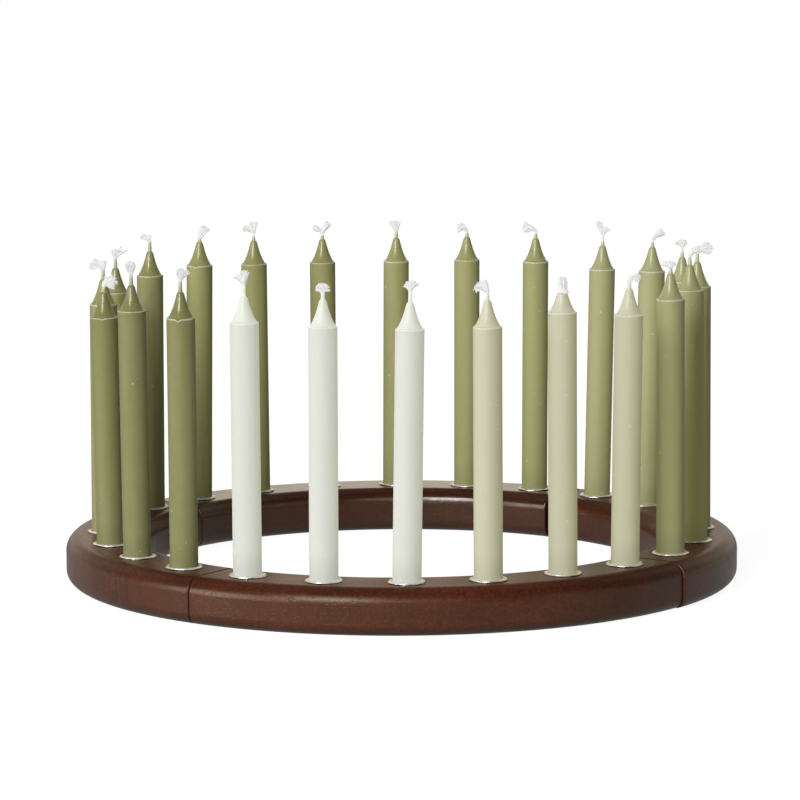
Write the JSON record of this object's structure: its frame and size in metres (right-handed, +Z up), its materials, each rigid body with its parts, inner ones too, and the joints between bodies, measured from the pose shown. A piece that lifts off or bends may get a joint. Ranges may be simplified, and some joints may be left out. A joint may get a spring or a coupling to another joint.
{
  "type": "advent candle holder",
  "caption": "Flat wooden ring made of loose curved segments, with metal cups in its top that hold a circle of slim candles for counting the days of advent.",
  "frame": {"origin": "centre of the ring, on the surface that it lies on", "axes": "+Z up through the middle of the ring; -Y towards the middle of the front quarter, +X towards the right quarter"},
  "size_m": [0.3208, 0.32, 0.1622],
  "materials": {
    "stained_wood": "dark red-brown stain under a satin lacquer",
    "cup_metal": "bright thin sheet metal",
    "wax_white": "dyed candle wax, satin",
    "wax_pale_green": "dyed candle wax, satin",
    "wax_light_green": "dyed candle wax, satin",
    "wax_mid_green": "dyed candle wax, satin",
    "wax_sage": "dyed candle wax, satin",
    "wax_moss": "dyed candle wax, satin",
    "wax_olive": "dyed candle wax, satin",
    "wax_dark_olive": "dyed candle wax, satin",
    "cotton": "frayed undyed cotton"
  },
  "bodies": {
    "quarter_front": {"quarter_front": "stained_wood", "cups_front": "cup_metal"},
    "quarter_right": {"quarter_right": "stained_wood", "cups_right": "cup_metal"},
    "quarter_back": {"quarter_back": "stained_wood", "cups_back": "cup_metal"},
    "quarter_left": {"quarter_left": "stained_wood", "cups_left": "cup_metal"},
    "candle_01": {"candle_01": "wax_white", "wick_01": "cotton"},
    "candle_02": {"candle_02": "wax_white", "wick_02": "cotton"},
    "candle_03": {"candle_03": "wax_white", "wick_03": "cotton"},
    "candle_04": {"candle_04": "wax_pale_green", "wick_04": "cotton"},
    "candle_05": {"candle_05": "wax_pale_green", "wick_05": "cotton"},
    "candle_06": {"candle_06": "wax_pale_green", "wick_06": "cotton"},
    "candle_07": {"candle_07": "wax_light_green", "wick_07": "cotton"},
    "candle_08": {"candle_08": "wax_light_green", "wick_08": "cotton"},
    "candle_09": {"candle_09": "wax_light_green", "wick_09": "cotton"},
    "candle_10": {"candle_10": "wax_mid_green", "wick_10": "cotton"},
    "candle_11": {"candle_11": "wax_mid_green", "wick_11": "cotton"},
    "candle_12": {"candle_12": "wax_mid_green", "wick_12": "cotton"},
    "candle_13": {"candle_13": "wax_sage", "wick_13": "cotton"},
    "candle_14": {"candle_14": "wax_sage", "wick_14": "cotton"},
    "candle_15": {"candle_15": "wax_sage", "wick_15": "cotton"},
    "candle_16": {"candle_16": "wax_moss", "wick_16": "cotton"},
    "candle_17": {"candle_17": "wax_moss", "wick_17": "cotton"},
    "candle_18": {"candle_18": "wax_moss", "wick_18": "cotton"},
    "candle_19": {"candle_19": "wax_olive", "wick_19": "cotton"},
    "candle_20": {"candle_20": "wax_olive", "wick_20": "cotton"},
    "candle_21": {"candle_21": "wax_olive", "wick_21": "cotton"},
    "candle_22": {"candle_22": "wax_dark_olive", "wick_22": "cotton"},
    "candle_23": {"candle_23": "wax_dark_olive", "wick_23": "cotton"},
    "candle_24": {"candle_24": "wax_dark_olive", "wick_24": "cotton"}
  },
  "joints": [
    {"name": "quarter_right_pull", "type": "slide", "parent": "quarter_front", "child": "quarter_right", "axis": [1, 0, 0], "range_m": [0, 0.05]},
    {"name": "quarter_back_pull", "type": "slide", "parent": "quarter_front", "child": "quarter_back", "axis": [0, 1, 0], "range_m": [0, 0.05]},
    {"name": "quarter_left_pull", "type": "slide", "parent": "quarter_front", "child": "quarter_left", "axis": [-1, 0, 0], "range_m": [0, 0.05]},
    {"name": "candle_01_lift", "type": "slide", "parent": "quarter_front", "child": "candle_01", "axis": [-0.0044, 0, 1], "range_m": [0, 0.025]},
    {"name": "candle_02_lift", "type": "slide", "parent": "quarter_front", "child": "candle_02", "axis": [0.0022, 0, 1], "range_m": [0, 0.025]},
    {"name": "candle_03_lift", "type": "slide", "parent": "quarter_front", "child": "candle_03", "axis": [0.0153, 0, 0.9999], "range_m": [0, 0.025]},
    {"name": "candle_04_lift", "type": "slide", "parent": "quarter_front", "child": "candle_04", "axis": [-0.0022, 0, 1], "range_m": [0, 0.025]},
    {"name": "candle_05_lift", "type": "slide", "parent": "quarter_front", "child": "candle_05", "axis": [-0.0044, 0, 1], "range_m": [0, 0.025]},
    {"name": "candle_06_lift", "type": "slide", "parent": "quarter_front", "child": "candle_06", "axis": [0.012, 0, 0.9999], "range_m": [0, 0.025]},
    {"name": "candle_07_lift", "type": "slide", "parent": "quarter_right", "child": "candle_07", "axis": [-0.0044, 0, 1], "range_m": [0, 0.025]},
    {"name": "candle_08_lift", "type": "slide", "parent": "quarter_right", "child": "candle_08", "axis": [-0.0197, 0, 0.9998], "range_m": [0, 0.025]},
    {"name": "candle_09_lift", "type": "slide", "parent": "quarter_right", "child": "candle_09", "axis": [-0.0044, 0, 1], "range_m": [0, 0.025]},
    {"name": "candle_10_lift", "type": "slide", "parent": "quarter_right", "child": "candle_10", "axis": [0.0022, 0, 1], "range_m": [0, 0.025]},
    {"name": "candle_11_lift", "type": "slide", "parent": "quarter_right", "child": "candle_11", "axis": [0.0197, 0, 0.9998], "range_m": [0, 0.025]},
    {"name": "candle_12_lift", "type": "slide", "parent": "quarter_right", "child": "candle_12", "axis": [0.0197, 0, 0.9998], "range_m": [0, 0.025]},
    {"name": "candle_13_lift", "type": "slide", "parent": "quarter_back", "child": "candle_13", "axis": [0.0044, 0, 1], "range_m": [0, 0.025]},
    {"name": "candle_14_lift", "type": "slide", "parent": "quarter_back", "child": "candle_14", "axis": [0.0022, 0, 1], "range_m": [0, 0.025]},
    {"name": "candle_15_lift", "type": "slide", "parent": "quarter_back", "child": "candle_15", "axis": [0.0066, 0, 1], "range_m": [0, 0.025]},
    {"name": "candle_16_lift", "type": "slide", "parent": "quarter_back", "child": "candle_16", "axis": [-0.0022, 0, 1], "range_m": [0, 0.025]},
    {"name": "candle_17_lift", "type": "slide", "parent": "quarter_back", "child": "candle_17", "axis": [-0.0066, 0, 1], "range_m": [0, 0.025]},
    {"name": "candle_18_lift", "type": "slide", "parent": "quarter_back", "child": "candle_18", "axis": [0.012, 0, 0.9999], "range_m": [0, 0.025]},
    {"name": "candle_19_lift", "type": "slide", "parent": "quarter_left", "child": "candle_19", "axis": [0.0044, 0, 1], "range_m": [0, 0.025]},
    {"name": "candle_20_lift", "type": "slide", "parent": "quarter_left", "child": "candle_20", "axis": [-0.0022, 0, 1], "range_m": [0, 0.025]},
    {"name": "candle_21_lift", "type": "slide", "parent": "quarter_left", "child": "candle_21", "axis": [0.0044, 0, 1], "range_m": [0, 0.025]},
    {"name": "candle_22_lift", "type": "slide", "parent": "quarter_left", "child": "candle_22", "axis": [-0.0142, 0, 0.9999], "range_m": [0, 0.025]},
    {"name": "candle_23_lift", "type": "slide", "parent": "quarter_left", "child": "candle_23", "axis": [-0.0098, 0, 1], "range_m": [0, 0.025]},
    {"name": "candle_24_lift", "type": "slide", "parent": "quarter_left", "child": "candle_24", "axis": [-0.0022, 0, 1], "range_m": [0, 0.025]}
  ]
}
